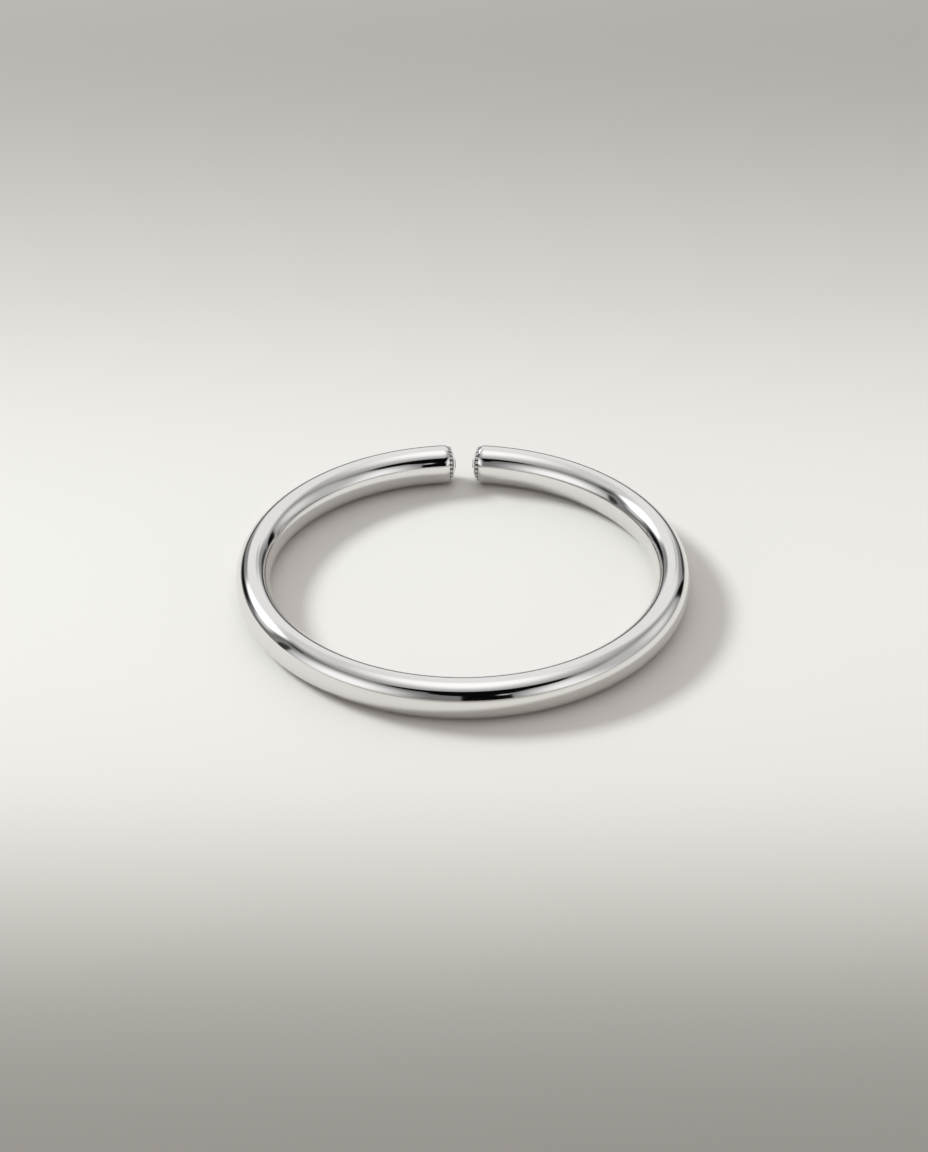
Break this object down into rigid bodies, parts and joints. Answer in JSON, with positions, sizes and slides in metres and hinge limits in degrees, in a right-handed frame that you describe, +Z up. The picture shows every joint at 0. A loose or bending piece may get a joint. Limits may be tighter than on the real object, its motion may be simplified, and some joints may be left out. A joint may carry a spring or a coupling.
{
  "type": "open cuff ring",
  "caption": "Open finger ring of polished oval silver wire, with rounded tips and a small cut stone in a ring of beads at each tip.",
  "frame": {"origin": "on the ring's axis, at the level of the surface that it rests on, lying on its side", "axes": "+Z up along the ring's axis, which is the finger's direction; +Y from the axis to the middle of the gap; +X to the right tip as seen from the closed side"},
  "size_m": [0.0204, 0.0204, 0.0019],
  "materials": {
    "silver": "mirror polished silver",
    "stone": "clear, faceted and polished"
  },
  "bodies": {
    "root": {"band": "silver", "stone_left": "stone", "stone_right": "stone"}
  },
  "joints": []
}
